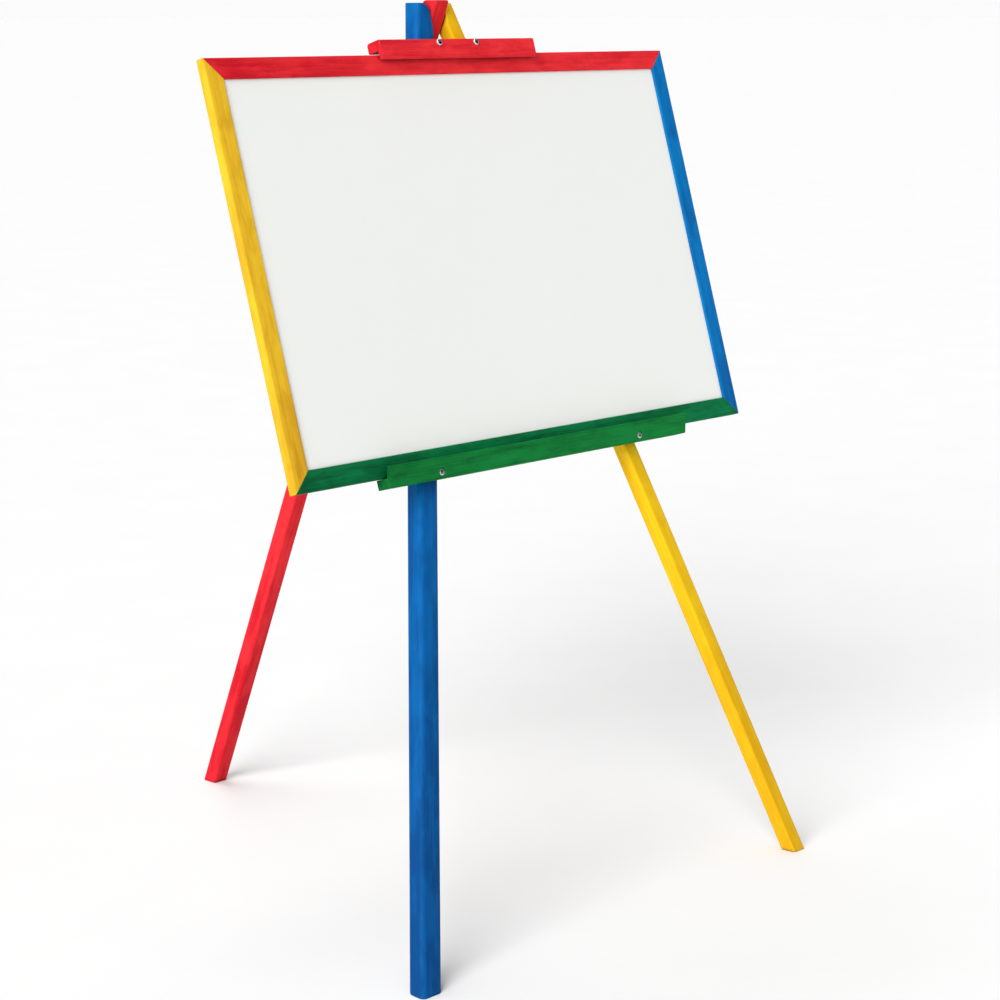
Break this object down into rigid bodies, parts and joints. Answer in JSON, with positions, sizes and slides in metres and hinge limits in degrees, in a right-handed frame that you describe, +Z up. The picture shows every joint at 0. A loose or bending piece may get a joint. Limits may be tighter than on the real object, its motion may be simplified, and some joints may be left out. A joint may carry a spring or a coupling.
{
  "type": "kids easel",
  "caption": "Child's standing easel in painted wood: a framed whiteboard held by a grooved clip and ledge on splayed front legs, with a folding rear leg.",
  "frame": {"origin": "on the floor under the middle of the easel's bounding box, as it stands open", "axes": "+Z up; the board faces -Y and leans back towards +Y; +X is to the right of a child who stands in front of the board"},
  "size_m": [0.7, 0.7172, 0.9775],
  "materials": {
    "blue_paint": "satin coloured stain on pine",
    "yellow_paint": "satin coloured stain on pine",
    "red_paint": "satin coloured stain on pine",
    "green_paint": "satin coloured stain on pine",
    "whiteboard": "smooth white writing surface",
    "hardboard": "raw brown hardboard",
    "steel": "zinc-plated steel"
  },
  "bodies": {
    "stand": {"front_leg_left": "blue_paint", "front_leg_right": "yellow_paint", "hinge_pin": "steel", "hinge_washer_left": "steel", "hinge_washer_right": "steel", "top_clip": "red_paint", "bottom_ledge": "green_paint", "clip_screw_left": "steel", "clip_screw_right": "steel", "ledge_screw_left": "steel", "ledge_screw_right": "steel"},
    "rear_leg": {"rear_leg": "red_paint"},
    "board": {"frame_bar_left": "yellow_paint", "frame_bar_top": "red_paint", "frame_bar_right": "blue_paint", "frame_bar_bottom": "green_paint", "whiteboard_sheet": "whiteboard", "hardboard_back": "hardboard", "staples_top_left": "steel", "staples_top_right": "steel", "staples_bottom_right": "steel", "staples_bottom_left": "steel"}
  },
  "joints": [
    {"name": "rear_leg_fold", "type": "hinge", "parent": "stand", "child": "rear_leg", "pos_m": [0.0033, -0.05403, 0.96016], "axis": [-1, 0, 0], "range_deg": [-5, 39.7]},
    {"name": "board_slide", "type": "slide", "parent": "stand", "child": "board", "axis": [1, 0, 0], "range_m": [-0.6, 0.6]}
  ]
}
